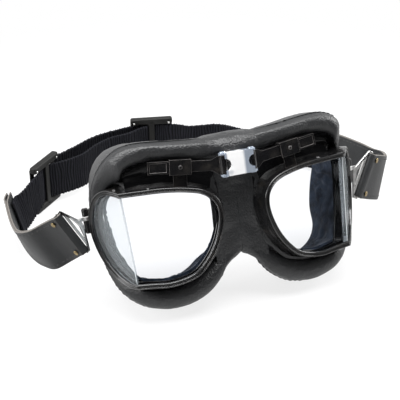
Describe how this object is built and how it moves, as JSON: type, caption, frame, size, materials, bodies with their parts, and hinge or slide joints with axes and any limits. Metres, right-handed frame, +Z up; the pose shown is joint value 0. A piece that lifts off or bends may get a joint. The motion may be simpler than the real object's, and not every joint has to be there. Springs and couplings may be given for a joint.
{
  "type": "split-lens riding goggles",
  "caption": "Split-lens riding goggles: hinged metal eyecups on a padded leather mask, with a bright adjustable bridge and an elastic strap.",
  "frame": {"origin": "on the table, under the middle of the outline as seen from above", "axes": "+Z up from the table, -Y out of the panes towards the viewer, +X to the viewer's right as they face the panes"},
  "size_m": [0.258, 0.214, 0.1019],
  "materials": {
    "mask_leather": "soft satin grain",
    "fleece": "fleece",
    "black_enamel": "gloss enamel",
    "glass": "clear",
    "chrome": "polished",
    "strap_leather": "satin, stitched",
    "brass": "polished",
    "elastic": "ribbed weave",
    "slider_plastic": "satin"
  },
  "bodies": {
    "bridge": {"bridge_link": "chrome", "bridge_pin_left": "chrome", "bridge_pin_right": "chrome", "mask_nose": "mask_leather", "elastic_left": "elastic", "elastic_right": "elastic"},
    "left_eye": {"mask_left": "mask_leather", "lining_left": "fleece", "eyecup_left": "black_enamel", "rim_left": "black_enamel", "front_lens_left": "glass", "side_lens_left": "glass", "sleeve_left": "black_enamel", "bridge_arm_left": "black_enamel", "side_bracket_left": "black_enamel", "bracket_pin_left": "black_enamel", "leather_tab_left": "strap_leather"},
    "right_eye": {"mask_right": "mask_leather", "lining_right": "fleece", "eyecup_right": "black_enamel", "rim_right": "black_enamel", "front_lens_right": "glass", "side_lens_right": "glass", "sleeve_right": "black_enamel", "bridge_arm_right": "black_enamel", "side_bracket_right": "black_enamel", "bracket_pin_right": "black_enamel", "leather_tab_right": "strap_leather"},
    "left_plate": {"strap_plate_left": "chrome", "tab_rivets_left": "brass"},
    "right_plate": {"strap_plate_right": "chrome", "tab_rivets_right": "brass"},
    "left_slider": {"slider_left": "slider_plastic"},
    "right_slider": {"slider_right": "slider_plastic"}
  },
  "joints": [
    {"name": "left_eye_fold", "type": "hinge", "parent": "bridge", "child": "left_eye", "pos_m": [-0.0174, -0.08748, 0.08939], "axis": [0, 0.342, 0.9397], "range_deg": [-8, 10], "stiffness_Nm_per_rad": 0.8, "deforming": ["mask_nose", "leather_tab_left", "elastic_left"]},
    {"name": "right_eye_fold", "type": "hinge", "parent": "bridge", "child": "right_eye", "pos_m": [0, -0.08748, 0.08939], "axis": [0, 0.342, 0.9397], "range_deg": [-10, 8], "stiffness_Nm_per_rad": 0.8, "deforming": ["mask_nose", "leather_tab_right", "elastic_right"]},
    {"name": "left_plate_swing", "type": "hinge", "parent": "left_eye", "child": "left_plate", "pos_m": [-0.09322, -0.0621, 0.05706], "axis": [-0.0593, 0.3414, 0.938], "range_deg": [-40, 10], "stiffness_Nm_per_rad": 0.02, "deforming": ["leather_tab_left"]},
    {"name": "right_plate_swing", "type": "hinge", "parent": "right_eye", "child": "right_plate", "pos_m": [0.07582, -0.0621, 0.05706], "axis": [0.0593, 0.3414, 0.938], "range_deg": [-10, 40], "stiffness_Nm_per_rad": 0.02, "deforming": ["leather_tab_right"]},
    {"name": "left_slider_slide", "type": "slide", "parent": "bridge", "child": "left_slider", "axis": [0.7193, 0.6947, 0], "range_m": [-0.006, 0.006], "deforming": ["elastic_left", "elastic_right"]},
    {"name": "right_slider_slide", "type": "slide", "parent": "bridge", "child": "right_slider", "axis": [0.9703, -0.2419, 0], "range_m": [-0.006, 0.006], "deforming": ["elastic_left", "elastic_right"]}
  ]
}
